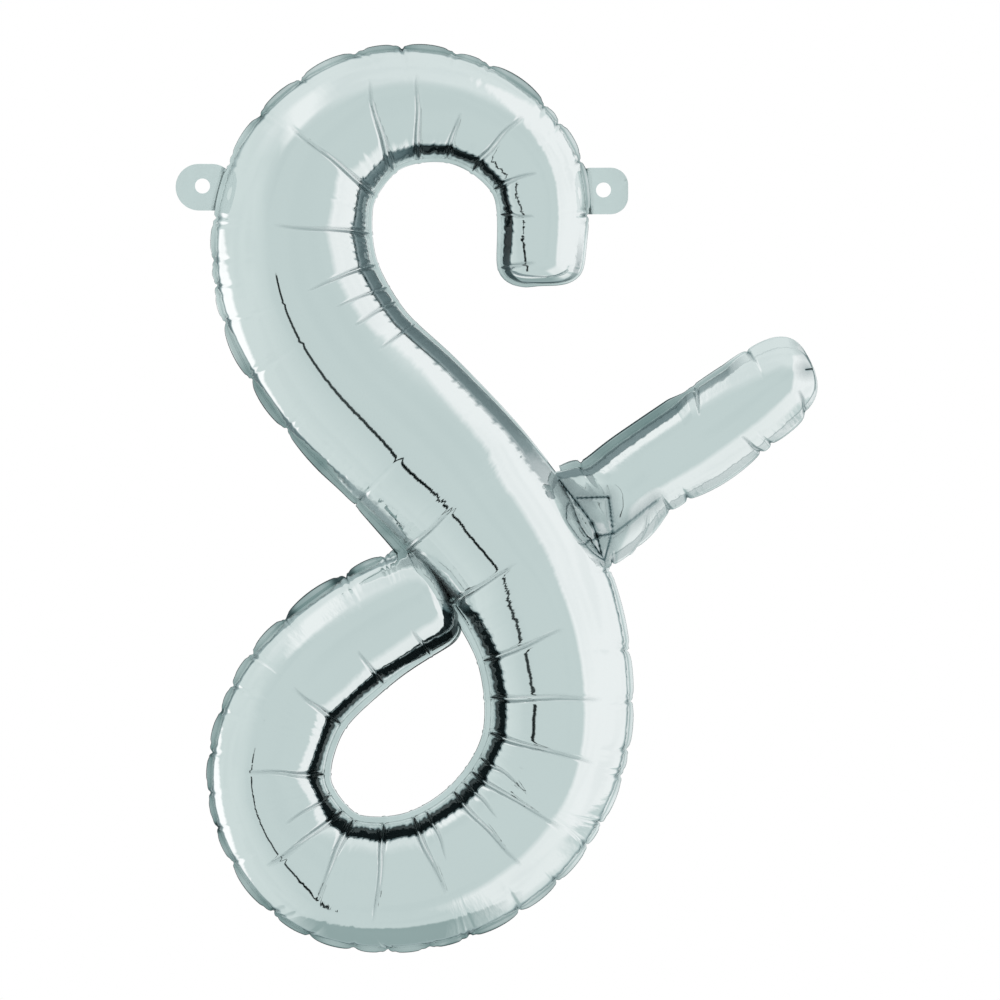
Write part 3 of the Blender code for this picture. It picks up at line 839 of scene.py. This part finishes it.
# The letter's main stroke, from the hook's end to the arm's end. Side 1 is on the left
# of someone walking that way; places are distances walked.
letter = {
    "seed": 11,
    "rows": [
        # x, z and reach out to the sealed edge
        (54.9, -38.4, 17.6), (53.4, 5.0, 19.2), (25.5, 30.0, 21.5), (-12.0, 30.0, 25.5),
        (-39.0, 4.5, 30.0), (-43.0, -33.5, 33.0), (-27.0, -67.5, 33.5), (-0.5, -95.0, 34.5),
        (25.5, -122.5, 34.0), (48.5, -153.5, 32.5), (61.0, -189.0, 30.0), (60.0, -227.0, 29.0),
        (40.0, -259.0, 28.5), (6.5, -277.0, 27.0), (-30.5, -274.0, 26.0), (-53.0, -243.5, 24.5),
        (-46.0, -207.0, 24.0), (-19.2, -179.8, 23.6), (16.5, -159.8, 21.4),
    ],
    "rowStep": 1.15, "fineStep": 0.42, "notchStep": 0.7, "frontColumns": 52, "backColumns": 30,
    "startCap": (12.0, 3.2), "endCap": (12.0, 3.4),
    "archPower": 0.6,
    # the end of this line and the start of the next set painted shade: how dark notches are painted and how
    # wide painted dark lines are
    "notchFoot": -0.4, "lensIn": 0.8, "notchFlange": 0.25, "notchPaintedShade": 0.5,
    "paintedLineWide": 0.38, "puckerScale": 1.0, "notchDeep": 1.0, "sideFolds": 1.0,
    "jag": [(0.42, 0.018), (1.0, 0.034), (2.6, 0.030)],
    "paintedWallShade": {
        # place, how dark the wall is painted, how dark the painted line along its top is; both are painted
        # shade
        -1: [(0, 0.5, 0.5), (12, 0.3, 0.3), (20, 0, 0), (270, 0, 0), (290, 0.4, 0), (340, 0.5, 0.2),
             (354, 0.97, 0.3), (690, 0.97, 0.3), (706, 0.7, 0.5)],
        1: [(0, 0.90, 0.4), (14, 0.97, 0.4), (98, 0.97, 0.5), (122, 0.80, 1.0), (235, 0.80, 1.0),
            (300, 0.70, 0.4), (330, 0.4, 0), (352, 0, 0), (688, 0, 0), (700, 0.6, 0.6)],
    },
    "edges": {
        # place, wall's top in from the outline, wall's foot out from it, flange width, flange
        # lean, petals 0 to 1, wall's height as a share of the depth, how dark the flange is painted as
        # painted shade
        -1: [(0, 3.6, -1.2, 1.2, 0.6, 0, 0.40, 0.3), (22, 3.0, -1.0, 1.4, 0.4, 0.3, 0.34, 0.3),
             (40, 2.6, 0, 1.4, 0.4, 1, 0.28, 0.5), (60, 2.4, 0, 1.6, 0.6, 1, 0.24, 0.6),
             (150, 2.4, 0, 1.6, 0.6, 1, 0.24, 0.6), (162, 2.4, -0.6, 1.3, 0.3, 0.3, 0.18, 0.2),
             (176, 2.4, -0.6, 1.3, 0.3, 0.3, 0.18, 0.2), (186, 2.4, 0, 1.6, 0.6, 1, 0.20, 0.2),
             (205, 2.6, 0, 1.6, 0.6, 1, 0.26, 0.4), (222, 3.0, 0, 1.6, 0.6, 1, 0.34, 0.85),
             (262, 3.4, 0, 1.8, 0.6, 1, 0.36, 0.85), (284, 5.0, -0.9, 3.2, 0.6, 0, 0.46, 0.7),
             (296, 5.2, -1.2, 4.6, 0.6, 0, 0.42, 0.8), (322, 4.2, -1.6, 5.8, 0.4, 0, 0.34, 0.9),
             (344, 4.4, -2.0, 5.4, 0.2, 0, 0.36, 0.9), (357, 7.6, -2.6, 4.0, 0, 0, 0.68, 0.4),
             (376, 8.2, -2.6, 3.4, 0, 0, 0.76, 0.1), (640, 8.0, -2.6, 3.4, 0, 0, 0.76, 0.1),
             (672, 6.4, -1.8, 2.2, 0.3, 0, 0.70, 0.3), (705, 4.0, -1.0, 1.4, 0.8, 0, 0.50, 0.3)],
        1: [(0, 4.6, -1.6, 1.8, 0.2, 0, 0.70, 0.3), (16, 6.2, -2.2, 2.2, 0, 0, 0.84, 0.2),
            (110, 6.4, -2.2, 2.2, 0, 0, 0.82, 0.1), (135, 7.2, -2.0, 2.0, 0, 0, 0.68, 0.1),
            (200, 7.2, -2.0, 2.0, 0, 0, 0.66, 0.1), (225, 6.2, -1.4, 1.6, 0.2, 0, 0.64, 0.2),
            (305, 5.8, -0.8, 0.9, 0.4, 0, 0.62, 0.3), (321, 7.0, -0.4, 0.5, 0.8, 0, 0.56, 0.4),
            (350, 4.6, -0.4, 0.5, 0.8, 0, 0.40, 0.2), (362, 2.4, -1.0, 1.4, 0.4, 0, 0.20, 0.1),
            (395, 2.2, -1.2, 1.6, 0.4, 0.3, 0.18, 0.1), (440, 2.4, -0.8, 1.4, 0.6, 0.6, 0.20, 0.3),
            (480, 2.4, 0, 1.6, 0.6, 0.9, 0.24, 0.6), (498, 2.4, 0, 1.6, 0.6, 0.92, 0.25, 0.62),
            # flatter in front of the fill tongue, which hangs down against it
            (503, 2.4, 0, 1.6, 0.2, 0.92, 0.25, 0.62), (523, 2.4, 0, 1.6, 0.2, 0.94, 0.26, 0.66),
            (528, 2.4, 0, 1.6, 0.6, 0.94, 0.26, 0.66), (590, 2.4, 0, 1.6, 0.6, 1, 0.28, 0.75),
            (640, 3.4, 0, 1.6, 0.6, 1, 0.44, 0.75), (690, 3.4, 0, 1.6, 0.6, 1, 0.46, 0.85),
            (705, 3.4, -1.0, 1.4, 0.6, 1, 0.46, 0.6)],
    },
    "ridge": 0.95, "puckerFrom": 6.0, "calm": {1: (204, 362), -1: (290, 330)},
    "creases": {
        # near; then the start at the seam and the far end, both read off the photograph,
        # deep, wide, and 1 where the foil stands straight up to it
        1: (0, [
            (508, 268, 530, 262, 1.2, 0.9, 0), (510, 214, 527, 220, 1.3, 0.9, 1),
            (502, 185, 532, 177, 1.5, 1.0, 1), (482, 160, 520, 119, 1.9, 1.3, 1),
            (450, 150, 457, 123, 1.2, 1.0, 1), (419, 154, 418, 81, 1.8, 1.3, 1),
            (391, 166, 370, 87, 1.8, 1.3, 1), (366, 189, 296, 134, 1.8, 1.2, 1),
            (364, 234, 285, 230, 1.6, 1.0, 1), (367, 268, 318, 290, 1.5, 1.0, 1),
            (372, 296, 346, 306, 1.2, 0.9, 1), (385, 310, 362, 322, 0.9, 0.9, 0),
            (400, 338, 390, 345, 0.8, 0.8, 0),
        ]),
        -1: (295, [
            (421, 538, 454, 510, 1.5, 1.1, 0), (462, 597, 513, 563, 1.9, 1.2, 0),
            (502, 657, 555, 629, 1.8, 1.1, 1), (502, 697, 595, 695, 2.0, 1.3, 1),
            (501, 735, 588, 760, 1.8, 1.1, 1), (495, 765, 516, 784, 1.5, 0.9, 0),
            (484, 780, 558, 820, 1.8, 1.1, 1), (477, 794, 490, 806, 1.3, 0.8, 0),
            (465, 804, 520, 858, 1.8, 1.1, 1), (431, 821, 442, 845, 1.3, 0.9, 0),
            (418, 829, 445, 882, 1.8, 1.2, 1), (384, 833, 376, 913, 1.7, 1.2, 1),
            (346, 831, 322, 892, 1.8, 1.3, 1), (333, 819, 271, 860, 1.9, 1.1, 1),
            (318, 800, 298, 817, 1.3, 0.9, 0), (308, 773, 254, 768, 1.8, 1.1, 1),
            (333, 717, 302, 692, 1.7, 1.1, 1), (377, 674, 365, 656, 1.3, 1.0, 1),
            (425, 645, 417, 636, 1.2, 0.9, 1),
        ]),
    },
    "petalRise": (0.12, 0.9, 2.5),
    "notches": {
        # near, then where the outline steps in between two petals, in walking order
        -1: (0, [
            (588, 216), (578, 161), (560, 120), (543, 105), (488, 71), (456, 55), (403, 51),
            (356, 58), (302, 83), (262, 119), (232, 163), (217, 219), (216, 260), (217, 286),
            (231, 320), (258, 377), (295, 421), (376, 484),
        ]),
        1: (350, [
            (605, 572), (624, 652), (630, 700), (630, 750), (620, 775), (601, 822), (586, 845),
            (555, 878), (516, 905), (469, 930), (428, 943), (389, 948), (353, 946), (312, 932),
            (276, 907), (235, 862), (220, 826), (213, 792), (214, 753), (223, 712), (241, 690),
            (257, 656), (291, 625), (350, 583), (390, 568), (412, 556),
        ]),
    },
    "crumple": [(0, 0.9), (40, 0.8), (110, 0.5), (130, 0.15), (170, 0.03), (290, 0.03), (300, 0.7),
                (470, 0.7), (500, 0.4), (560, 0.7), (580, 0.9), (640, 0.5), (700, 0.7)],
    "armLift": 2.35, "armLiftRun": 70.0, "armLiftEnd": 22.0,
    "neckFrom": 321.0, "neckTo": 359.0,   # side 1 has no sealed edge where the tail joins
}


def armLift(s, length):
    run = letter["armLiftRun"] - letter["armLiftEnd"]
    return letter["armLift"] * mm * ease((s - length + letter["armLiftRun"] * mm) / (run * mm))


letter["lift"] = armLift
letterTube = blownTube(letter)
letterEnvelope = addObject("letterEnvelope", tubeMesh("letterEnvelope", letterTube), foil)
print("letter envelope:", letterTube["grid"].shape, "rows and columns")

# The sealed edge beside the seams; lengths in mm
sealedEdge = {
    "tuck": 0.25, "thick": 0.22, "ripple": 0.4, "rippleDetail": 1.0,
    "pointStep": 0.8, "smoothing": 6, "leanFirst": 0.7, "leanMore": 0.3,
    "steps": ("stepA", "stepB", "stepC"),
}


# Geometry Nodes pull a strip of sealed foil out of the seam line, step by step
def sealNodes():
    tree = bpy.data.node_groups.new("sealedStrip", "GeometryNodeTree")
    face = tree.interface
    face.new_socket(name="Geometry", in_out="INPUT", socket_type="NodeSocketGeometry")
    addInputs(tree, {"Width scale": 1.0, "Ripple": 0.0002, "Ripple fineness": 160.0})
    face.new_socket(name="Material", in_out="INPUT", socket_type="NodeSocketMaterial")
    face.new_socket(name="Geometry", in_out="OUTPUT", socket_type="NodeSocketGeometry")
    ins = addNode(tree, "NodeGroupInput").outputs
    outs = addNode(tree, "NodeGroupOutput").inputs
    current = ins["Geometry"]
    chosen = None
    for step in sealedEdge["steps"]:
        offset = addNode(tree, "GeometryNodeInputNamedAttribute", data_type="FLOAT_VECTOR")
        offset.inputs["Name"].default_value = step
        scaled = addNode(tree, "ShaderNodeVectorMath", operation="SCALE")
        link(tree, offset.outputs["Attribute"], scaled.inputs[0])
        link(tree, ins["Width scale"], scaled.inputs["Scale"])
        pull = addNode(tree, "GeometryNodeExtrudeMesh", mode="EDGES")
        link(tree, current, pull.inputs["Mesh"])
        link(tree, scaled.outputs[0], pull.inputs["Offset"])
        pull.inputs["Offset Scale"].default_value = 1.0
        if chosen is not None:
            link(tree, chosen, pull.inputs["Selection"])
        current, chosen = pull.outputs["Mesh"], pull.outputs["Top"]
    # marks the strip's outer edge, where the material paints a darker outline of painted shade
    mark = addNode(tree, "GeometryNodeStoreNamedAttribute", data_type="FLOAT", domain="POINT")
    mark.inputs["Name"].default_value = "outerEdge"
    mark.inputs["Value"].default_value = 1.0
    link(tree, current, mark.inputs["Geometry"])
    link(tree, chosen, mark.inputs["Selection"])
    current = mark.outputs["Geometry"]
    noise = addNode(tree, "ShaderNodeTexNoise")
    noise.inputs["Detail"].default_value = sealedEdge["rippleDetail"]
    link(tree, ins["Ripple fineness"], noise.inputs["Scale"])
    centred = mathNode(tree, "SUBTRACT", noise.outputs[0], 0.5)
    moved = mathNode(tree, "MULTIPLY", centred, ins["Ripple"])
    offset = addNode(tree, "ShaderNodeCombineXYZ")
    link(tree, moved, offset.inputs["Y"])
    shift = addNode(tree, "GeometryNodeSetPosition")
    link(tree, current, shift.inputs["Geometry"])
    link(tree, offset.outputs[0], shift.inputs["Offset"])
    smooth = addNode(tree, "GeometryNodeSetShadeSmooth")
    link(tree, shift.outputs[0], smooth.inputs[0])
    real = addNode(tree, "GeometryNodeRealizeInstances")
    link(tree, smooth.outputs[0], real.inputs[0])
    paint = addNode(tree, "GeometryNodeSetMaterial")
    link(tree, real.outputs[0], paint.inputs["Geometry"])
    link(tree, ins["Material"], paint.inputs["Material"])
    link(tree, paint.outputs[0], outs["Geometry"])
    return tree


sealTree = sealNodes()


# A thin sheet gets its wall and becomes a plain mesh, with faces outwards; with a sharpAngle
# it is smooth but for edges that turn more than that
def walledPiece(name, carrier, thick, material, sharpAngle=None):
    wall = carrier.modifiers.new("wall", "SOLIDIFY")
    wall.thickness = thick * mm
    wall.offset = 0.0
    evaluated = carrier.evaluated_get(bpy.context.evaluated_depsgraph_get())
    shown = bpy.data.meshes.new_from_object(evaluated)
    bpy.data.objects.remove(carrier)
    build = bmesh.new()
    build.from_mesh(shown)
    bmesh.ops.recalc_face_normals(build, faces=build.faces)
    if sharpAngle is not None:
        for face in build.faces:
            face.smooth = True
        for edge in build.edges:
            if edge.calc_face_angle(0.0) > sharpAngle:
                edge.smooth = False
    build.to_mesh(shown)
    build.free()
    shown.name = name
    return addObject(name, shown, material)


# A strip along a seam line; path holds points, outward the in-plane directions, wide the
# width, lean how far it tips back in radians and the last how dark its colour is painted, as painted shade,
# all per point
def sealStrip(name, path, outward, wide, lean, paintedShade):
    mesh = bpy.data.meshes.new(name)
    edges = [(index, index + 1) for index in range(len(path) - 1)]
    start = path - outward * (sealedEdge["tuck"] * mm)
    mesh.from_pydata(start.tolist(), edges, [])
    steps = sealedEdge["steps"]
    for order, step in enumerate(steps):
        tip = lean * (sealedEdge["leanFirst"] + sealedEdge["leanMore"] * order)
        vectors = outward * (np.cos(tip) * wide / len(steps))[:, None]
        vectors[:, 1] += np.sin(tip) * wide / len(steps)
        attribute = mesh.attributes.new(step, "FLOAT_VECTOR", "POINT")
        attribute.data.foreach_set("vector", vectors.reshape(-1).astype(np.float32))
    attribute = mesh.attributes.new("paintedShade", "FLOAT", "POINT")
    attribute.data.foreach_set("value", paintedShade.astype(np.float32))
    carrier = bpy.data.objects.new(name, mesh)
    dressing.objects.link(carrier)
    modifier = carrier.modifiers.new("strip", "NODES")
    modifier.node_group = sealTree
    names = {item.name: item.identifier for item in sealTree.interface.items_tree if item.in_out == "INPUT"}
    modifier[names["Width scale"]] = 1.0
    modifier[names["Ripple"]] = sealedEdge["ripple"] * mm
    modifier[names["Material"]] = sealFoil
    return walledPiece(name, carrier, sealedEdge["thick"], sealFoil)


# Outward directions of a seam line, smoothed so that notches don't flip them
def outwardOf(path, rounds, hand):
    tangent = np.gradient(smoothed(path[:, [0, 2]], rounds), axis=0)
    tangent /= np.maximum(np.linalg.norm(tangent, axis=1), 1e-9)[:, None]
    return hand * np.stack([-tangent[:, 1], np.zeros(len(path)), tangent[:, 0]], -1)


def resample(path, values, step):
    gaps = np.linalg.norm(np.diff(path, axis=0), axis=1)
    keep = np.concatenate([[True], gaps > 1e-6])
    path, values = path[keep], [value[keep] for value in values]
    place = np.concatenate([[0.0], np.cumsum(np.linalg.norm(np.diff(path, axis=0), axis=1))])
    count = int(round(place[-1] / step)) + 1
    at = np.linspace(0.0, place[-1], count)
    fresh = np.stack([np.interp(at, place, path[:, axis]) for axis in range(3)], -1)
    return fresh, [np.interp(at, place, value) for value in values]


# The sealed edge along runs of a tube's seam, each a side and its rows; hand says which side
# of the walk is outwards
def sealAlong(name, tube, runs, hand):
    found = []
    for side, chosen in runs:
        column = 0 if side < 0 else tube["half"]
        edge = tube["edges"][side]
        found.append((tube["grid"][chosen, column], edge["flange"][chosen], edge["lean"][chosen],
                      edge["paintedShade"][chosen]))
    seam, wide, lean, paintedShade = (np.concatenate(part) for part in zip(*found))
    seam, (wide, lean, paintedShade) = resample(seam, [wide, lean, paintedShade], sealedEdge["pointStep"] * mm)
    print(name + ":", len(seam), "points")
    return sealStrip(name, seam, outwardOf(seam, sealedEdge["smoothing"], hand), wide, lean, paintedShade)


rows = letterTube["rows"]
order = np.arange(len(rows))
letterSeal = sealAlong("letterSealedEdge", letterTube, [
    (1, order[rows >= letter["neckTo"] * mm]),
    (-1, order[::-1]),
    (1, order[rows <= letter["neckFrom"] * mm]),
], 1.0)

# Dark cards behind the letter's two openings, seen only in the foil's reflections
cards = {
    "back": 9.0, "inset": 1.5, "every": 4, "colour": (0.004, 0.006, 0.006, 1.0), "roughness": 1.0,
    # side of the stroke, first and last place of the seam that the card follows
    "runs": {"loopCard": (-1, 372, 686), "hookCard": (1, 14, 112)},
}


def darkCard(name, side, first, last):
    column = 0 if side < 0 else letterTube["half"]
    chosen = (letterTube["rows"] > first * mm) & (letterTube["rows"] < last * mm)
    edge = letterTube["grid"][chosen, column][::cards["every"]]
    inward = edge.mean(axis=0) - edge
    inward /= np.linalg.norm(inward, axis=1)[:, None]
    corners = edge + inward * cards["inset"] * mm
    corners[:, 1] = cards["back"] * mm
    mesh = bpy.data.meshes.new(name)
    mesh.from_pydata(corners.tolist(), [], [list(range(len(corners)))])
    mesh.materials.append(plainPaint(name, cards["colour"], cards["roughness"]))
    card = bpy.data.objects.new(name, mesh)
    scene.collection.objects.link(card)
    card.visible_camera = card.visible_diffuse = card.visible_shadow = False
    return card


for name, run in cards["runs"].items():
    darkCard(name, *run)
print("dark cards ready")

# The tail, from the neck out to its round tip
tail = {
    "seed": 5,
    "rows": [
        (69.0, -132.5, 23.6), (73.9, -130.1, 22.4), (83.0, -125.5, 20.0), (95.2, -114.2, 18.0),
        (118.0, -99.8, 19.0), (137.5, -86.2, 18.2), (151.5, -77.0, 16.5), (164.2, -73.0, 13.5),
    ],
    "rowStep": 0.34, "fineStep": 0.32, "notchStep": 0.34, "frontColumns": 136, "backColumns": 60,
    "startCap": None, "endCap": (13.0, 2.7),
    "archPower": 0.5,
    # the end of this line and the start of the next set painted shade: how dark notches are painted and how
    # wide painted dark lines are
    "notchFoot": 0.2, "lensIn": -1.1, "notchFlange": 0.3, "notchPaintedShade": 0.6,
    "paintedLineWide": 0.44, "puckerScale": 0.12, "notchDeep": 0.55, "sideFolds": 0.0,
    "jag": [(0.5, 0.016), (1.3, 0.028), (3.1, 0.024)],
    # painted shade on the tail's walls: place, how dark the wall is painted, how dark the painted line
    # along its top is
    "paintedWallShade": {
        -1: [(0, 0.3, 0.5), (110, 0.1, 0.5)],
        1: [(0, 0.75, 0.5), (60, 0.80, 0.6), (68, 0.3, 0.2), (84, 0.62, 0.5), (94, 0, 0.2)],
    },
    "edges": {
        -1: [(0, 2.0, 0, 0.8, 0.5, 1, 0.20, 0.3), (30, 1.6, 0, 0.8, 0.5, 1, 0.44, 0.4),
             (85, 1.6, 0, 0.8, 0.5, 1, 0.40, 0.4), (110, 2.0, 0, 0.8, 0.5, 1, 0.24, 0.2)],
        1: [(0, 6.2, -2.8, 1.6, 0.3, 0, 0.80, 0.5), (7, 6.2, -2.8, 3.2, 0.3, 0, 0.75, 0.6),
            (10, 6.2, -2.8, 3.0, 0.3, 0, 0.72, 0.7), (11.2, 6.2, -2.8, 1.4, 0.3, 0, 0.71, 1.0),
            (12.6, 6.2, -2.8, 3.2, 0.3, 0, 0.70, 0.8), (16, 6.4, -2.8, 3.8, 0.3, 0, 0.70, 0.8),
            (58, 6.0, -2.6, 3.4, 0.3, 0, 0.68, 0.8), (65, 4.4, -1.8, 1.2, 0.4, 0, 0.66, 0.9),
            (70, 4.8, -2.0, 2.0, 0.4, 0, 0.64, 0.7), (84, 4.6, -1.8, 2.2, 0.4, 0, 0.60, 0.7),
            (92, 3.4, -1.2, 1.4, 0.5, 0.5, 0.45, 0.3),
            (110, 3.0, 0, 1.2, 0.5, 1, 0.36, 0.1)],
    },
    "ridge": 0.9, "puckerFrom": 3.0, "calm": {}, "sealFrom": 3.0,
    "creases": {
        -1: (0, [(626, 551, 655, 500, 1.1, 0.9, 0), (668, 508, 659, 494, 0.9, 0.8, 0),
                 (757, 447, 741, 434, 0.9, 0.8, 0), (803, 404, 795, 392, 0.6, 0.7, 0)]),
        1: (20, [(694, 387, 697, 408, 1.5, 1.0, 0), (746, 350, 753, 358, 1.0, 0.8, 0),
                 (806, 343, 811, 354, 0.9, 0.7, 0)]),
    },
    "petalRise": (0.07, 1.2, 1.9),
    "notches": {
        -1: (0, [(612, 562), (633, 546), (668, 508), (688, 498), (757, 447), (771, 443), (803, 406)]),
        1: (0, [(580, 467), (694, 387), (746, 350), (803, 341)]),
    },
    "crumple": [(0, 1.0), (30, 0.8), (45, 0.15), (110, 0.15)],
    "neck": {"run": 24.0, "share": 0.30},
    "folds": [
        # both ends read off the photograph, pressed in by, half width; all cross the neck
        (559, 480, 577, 503, 1.4, 1.5), (577, 503, 592, 523, 1.5, 1.5), (592, 523, 597, 536, 1.5, 1.5),
        (597, 536, 604, 565, 1.3, 1.5), (577, 498, 608, 497, 1.1, 1.3), (608, 497, 612, 527, 1.2, 1.3),
        (612, 530, 604, 562, 0.8, 1.3), (598, 536, 614, 533, 1.0, 1.3), (614, 533, 655, 501, 0.7, 1.3),
        (563, 487, 572, 504, 0.8, 1.3), (597, 536, 588, 545, 0.8, 1.3),
        # and two at the tip
        (801, 341, 808, 353, 1.2, 1.0), (805, 370, 820, 368, 1.2, 1.0),
    ],
    # painted shade round the folds and on their facet side
    "foldPaintedShade": 0.42, "facetWide": 5.5, "facetPaintedShade": 0.55,
}
tailTube = blownTube(tail)
tailEnvelope = addObject("tailEnvelope", tubeMesh("tailEnvelope", tailTube, closedStart=False), foil)
print("tail envelope:", tailTube["grid"].shape, "rows and columns")
tailOrder = np.arange(len(tailTube["rows"]))[tailTube["rows"] > tail["sealFrom"] * mm]
tailSeal = sealAlong("tailSealedEdge", tailTube, [(-1, tailOrder), (1, tailOrder[::-1])], -1.0)


# Signed distance to a box with rounded corners, in mm; negative inside
def roundedBox(u, v, halfWide, halfHigh, corner):
    over = np.abs(u) - halfWide + corner, np.abs(v) - halfHigh + corner
    outside = np.hypot(np.maximum(over[0], 0.0), np.maximum(over[1], 0.0))
    return outside + np.minimum(np.maximum(*over), 0.0) - corner


# A piece of thin film: rings from its middle, or from a round hole, out to its outline
def filmPiece(name, spec, outside, place, material, halvings=30, sharpAngle=0.9):
    count = spec["round"]
    turn = np.linspace(0.0, 2 * math.pi, count, endpoint=False)
    cosine, sine = np.cos(turn), np.sin(turn)
    middleU, middleV = spec["middle"]
    near, far = np.zeros_like(turn), np.full_like(turn, spec["widest"])
    for _ in range(halvings):
        between = (near + far) / 2
        beyond = outside(middleU + between * cosine, middleV + between * sine) > 0
        near, far = np.where(beyond, near, between), np.where(beyond, between, far)
    share = np.linspace(0.0, 1.0, spec["rings"])[:, None]
    radius = spec["hole"] + share * (near - spec["hole"])
    points = place(middleU + radius * cosine, middleV + radius * sine) * mm
    index = np.arange(spec["rings"] * count).reshape(-1, count)
    after = np.roll(index, -1, axis=1)
    faces = np.stack([index[:-1], after[:-1], after[1:], index[1:]], -1).reshape(-1, 4)
    mesh = bpy.data.meshes.new(name)
    mesh.from_pydata(points.reshape(-1, 3).tolist(), [], faces.tolist())
    build = bmesh.new()
    build.from_mesh(mesh)
    bmesh.ops.remove_doubles(build, verts=build.verts, dist=mergeGap)
    build.to_mesh(mesh)
    build.free()
    carrier = bpy.data.objects.new(name, mesh)
    dressing.objects.link(carrier)
    return walledPiece(name, carrier, spec["thick"], material, sharpAngle)


# Hanging tabs: flat film with a hole, tucked in behind the petals at the root; x and z in mm
tabs = {
    # out points away from the balloon and fold is the hinge; the box is its middle, half
    # wide, half high and corner; root and crease are lines from one x and z to another
    "tabLeft": {
        "node": "tab_left", "body": "hang_tab_left", "out": (-0.968, 0.25), "fold": (-74.57, -0.72),
        "box": (-79.0, 0.3, 11.8, 9.3, 9.2), "root": (-67.3, 9.3, -72.9, -9.3), "middle": (-80.2, 0.8),
        "crease": (-88.0, -4.5, -75.5, 8.0),
    },
    "tabRight": {
        "node": "tab_right", "body": "hang_tab_right", "out": (0.997, 0.08), "fold": (75.12, -1.52),
        "box": (79.0, -1.2, 11.0, 9.3, 7.0), "root": (70.1, 8.0, 72.5, -10.4), "middle": (80.2, -0.8),
        "crease": (76.0, -9.0, 88.5, 2.5),
    },
}
tabShape = {
    "hole": 3.0, "rings": 14, "round": 144, "widest": 22.0, "thick": 0.25,
    "tuck": 1.3, "tuckFrom": 0.6, "tuckRun": 1.8, "curl": 0.006,
    "creaseDeep": 0.16, "creaseWide": 0.9, "bendRoom": 0.9,
}


def hangingTab(name, spec):
    boxX, boxZ, halfWide, halfHigh, corner = spec["box"]
    fold, out = np.array(spec["fold"]), np.array(spec["out"])
    rootTop, rootLow = np.array(spec["root"][:2]), np.array(spec["root"][2:])
    inward = np.array([-(rootLow - rootTop)[1], (rootLow - rootTop)[0]])
    inward = inward / np.linalg.norm(inward) * (-1 if inward @ out > 0 else 1)
    creaseFrom, creaseTo = np.array(spec["crease"][:2]), np.array(spec["crease"][2:])

    def outside(x, z):
        behindRoot = (x - rootTop[0]) * inward[0] + (z - rootTop[1]) * inward[1]
        return np.maximum(roundedBox(x - boxX, z - boxZ, halfWide, halfHigh, corner), behindRoot)

    def place(x, z):
        beyond = (x - fold[0]) * out[0] + (z - fold[1]) * out[1]
        y = tabShape["tuck"] * ease((tabShape["tuckFrom"] - beyond) / tabShape["tuckRun"])
        y = y - tabShape["curl"] * np.maximum(beyond, 0.0) ** 2
        gap = gapToLine(np.stack([x, z], -1) - creaseFrom, creaseTo - creaseFrom)
        y = y + tabShape["creaseDeep"] * np.clip(1.0 - gap / tabShape["creaseWide"], 0.0, 1.0)
        return np.stack([x, y, z], -1)

    piece = filmPiece(name, {**tabShape, "middle": spec["middle"]}, outside, place, tabFilm)
    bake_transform(piece)
    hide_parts(spec["node"])


for name, spec in tabs.items():
    hangingTab(name, spec)
print("hanging tabs ready")

# Fill tongue and the valve film on it, at the bottom; both lean back by the same angle
tongue = {
    "root": (-2.0, 1.8, -304.4), "lean": math.radians(72),
    "hang": 0.8, "hangRun": 3.6,   # how far both hang off the back sheet, in mm
    "ripple": 0.12, "rippleTurn": 1.1,
    "pieces": {
        # node, slot, half wide, start, end, corner, raised, dished, material
        "fillTongue": ("fill_tongue", "silver_foil", 6.0, 0.2, 22.0, 3.0, 0.0, 0.35, sealFoil),
        "valveFilmStrip": ("valve_film", "valve_film", 4.0, 4.0, 25.0, 1.2, 0.95, 0.20, valveFilm),
    },
    "shape": {"hole": 0.0, "rings": 16, "round": 120, "widest": 26.0, "thick": 0.3},
}


def tonguePiece(name, node, slot, halfWide, start, end, corner, raised, dished, material):
    middle = (start + end) / 2
    cosine, sine = math.cos(tongue["lean"]), math.sin(tongue["lean"])
    rootX, rootY, rootZ = tongue["root"]

    def outside(u, v):
        return roundedBox(u, v - middle, halfWide, (end - start) / 2, corner)

    def place(u, v):
        ripple = tongue["ripple"] * np.sin(v * tongue["rippleTurn"]) * (u / halfWide)
        hang = tongue["hang"] * ease(v / tongue["hangRun"])
        up = raised - dished * (u / halfWide) ** 2 + ripple + hang
        return np.stack([rootX + u, rootY + sine * v + cosine * up, rootZ + cosine * v - sine * up], -1)

    piece = filmPiece(name, {**tongue["shape"], "middle": (0.0, middle)}, outside, place, material)
    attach(piece, "fill_flap")
    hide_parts(node)


for name, settings in tongue["pieces"].items():
    tonguePiece(name, *settings)
print("fill tongue ready")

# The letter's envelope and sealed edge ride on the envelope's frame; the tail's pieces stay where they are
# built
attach(letterEnvelope, "envelope")
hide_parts("front_foil", "back_foil")
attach(letterSeal, "envelope")
for piece in (tailEnvelope, tailSeal):
    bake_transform(piece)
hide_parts("tail_front_foil", "tail_back_foil")

# A pale floor far below, which the foil doesn't mirror
floorLook = {"half": 8, "low": -1.4, "colour": (0.86, 0.87, 0.87, 1), "roughness": 0.8}
half, level = floorLook["half"], floorLook["low"]
floorCorners = [(-half, -half, level), (half, -half, level), (half, half, level), (-half, half, level)]
floorMesh = bpy.data.meshes.new("studioFloor")
floorMesh.from_pydata(floorCorners, [], [(0, 1, 2, 3)])
floorMesh.materials.append(plainPaint("studioFloor", floorLook["colour"], floorLook["roughness"]))
floor = bpy.data.objects.new("studioFloor", floorMesh)
scene.collection.objects.link(floor)
floor.visible_glossy = False
